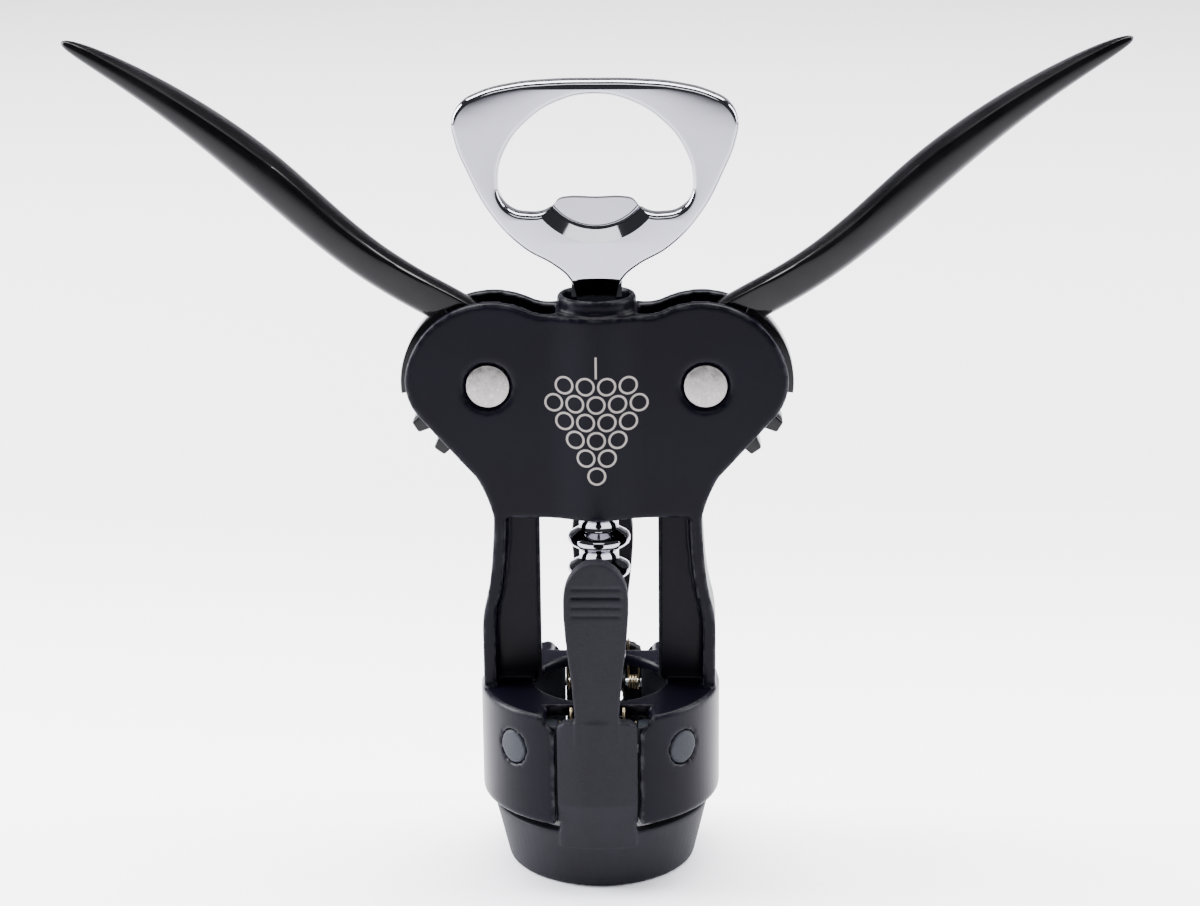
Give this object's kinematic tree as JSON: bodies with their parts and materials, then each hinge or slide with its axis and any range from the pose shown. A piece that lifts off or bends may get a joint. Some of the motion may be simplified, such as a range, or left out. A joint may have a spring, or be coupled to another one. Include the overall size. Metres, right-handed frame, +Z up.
{
  "type": "lever corkscrew",
  "caption": "Lever corkscrew with a cap-lifter handle on a chrome screw, geared black wings on a cast frame, and a bell with a sprung thumb-lever bottle clamp.",
  "frame": {"origin": "centre of the base, where the clamp's skirt stands, on the screw axis", "axes": "+Z up along the screw, wings spread along X, front thumb lever towards -Y"},
  "size_m": [0.187, 0.0432, 0.1532],
  "materials": {
    "frame_black": "satin black coated zinc casting",
    "wing_black": "gloss black coated zinc casting",
    "chrome": "polished chrome plate",
    "rivet_steel": "dull spun steel",
    "pin_steel": "ground steel",
    "washer_brass": "plain brass",
    "spring_wire": "drawn phosphor bronze wire",
    "jaw_plastic": "fine grained matte nylon, dark grey",
    "carrier_plastic": "fine grained matte nylon, blue grey"
  },
  "bodies": {
    "frame": {"frame": "frame_black", "pivot_rivet_left": "rivet_steel", "pivot_rivet_right": "rivet_steel", "jaw_carrier_left": "carrier_plastic", "jaw_carrier_right": "carrier_plastic", "jaw_pin_front": "pin_steel", "jaw_pin_rear": "pin_steel", "jaw_spring_front_left": "spring_wire", "jaw_spring_front_right": "spring_wire", "jaw_spring_rear_left": "spring_wire", "jaw_spring_rear_right": "spring_wire"},
    "wing_left": {"wing_left": "wing_black"},
    "wing_right": {"wing_right": "wing_black"},
    "rack": {"rack_sleeve": "chrome"},
    "screw": {"spindle": "chrome", "worm": "chrome", "handle": "chrome", "handle_pin": "pin_steel", "upper_washer": "washer_brass", "lower_washer": "washer_brass"},
    "jaw_front": {"jaw_front": "jaw_plastic"},
    "jaw_rear": {"jaw_rear": "jaw_plastic"}
  },
  "joints": [
    {"name": "wing_left_hinge", "type": "hinge", "parent": "frame", "child": "wing_left", "pos_m": [-0.0194, 0, 0.0919], "axis": [0, -1, 0], "range_deg": [-8, 112]},
    {"name": "wing_right_hinge", "type": "hinge", "parent": "frame", "child": "wing_right", "pos_m": [0.0194, 0, 0.0919], "axis": [0, 1, 0], "range_deg": [-8, 112]},
    {"name": "rack_slide", "type": "slide", "parent": "frame", "child": "rack", "axis": [0, 0, 1], "range_m": [-0.0022, 0.0296]},
    {"name": "screw_spin", "type": "hinge", "parent": "rack", "child": "screw", "pos_m": [0, 0, 0.09], "axis": [0, 0, 1], "continuous": true},
    {"name": "jaw_front_hinge", "type": "hinge", "parent": "frame", "child": "jaw_front", "pos_m": [0, -0.0164, 0.0271], "axis": [-1, 0, 0], "range_deg": [0, 12], "stiffness_Nm_per_rad": 0.05, "springref_deg": -28.65, "deforming": ["jaw_spring_front_left", "jaw_spring_front_right"]},
    {"name": "jaw_rear_hinge", "type": "hinge", "parent": "frame", "child": "jaw_rear", "pos_m": [0, 0.0164, 0.0271], "axis": [1, 0, 0], "range_deg": [0, 12], "stiffness_Nm_per_rad": 0.05, "springref_deg": -28.65, "deforming": ["jaw_spring_rear_left", "jaw_spring_rear_right"]}
  ],
  "couplings": [
    {"joint": "wing_right_hinge", "follows": "wing_left_hinge", "ratio": 1},
    {"joint": "rack_slide", "follows": "wing_left_hinge", "m_per_rad": 0.015024}
  ]
}
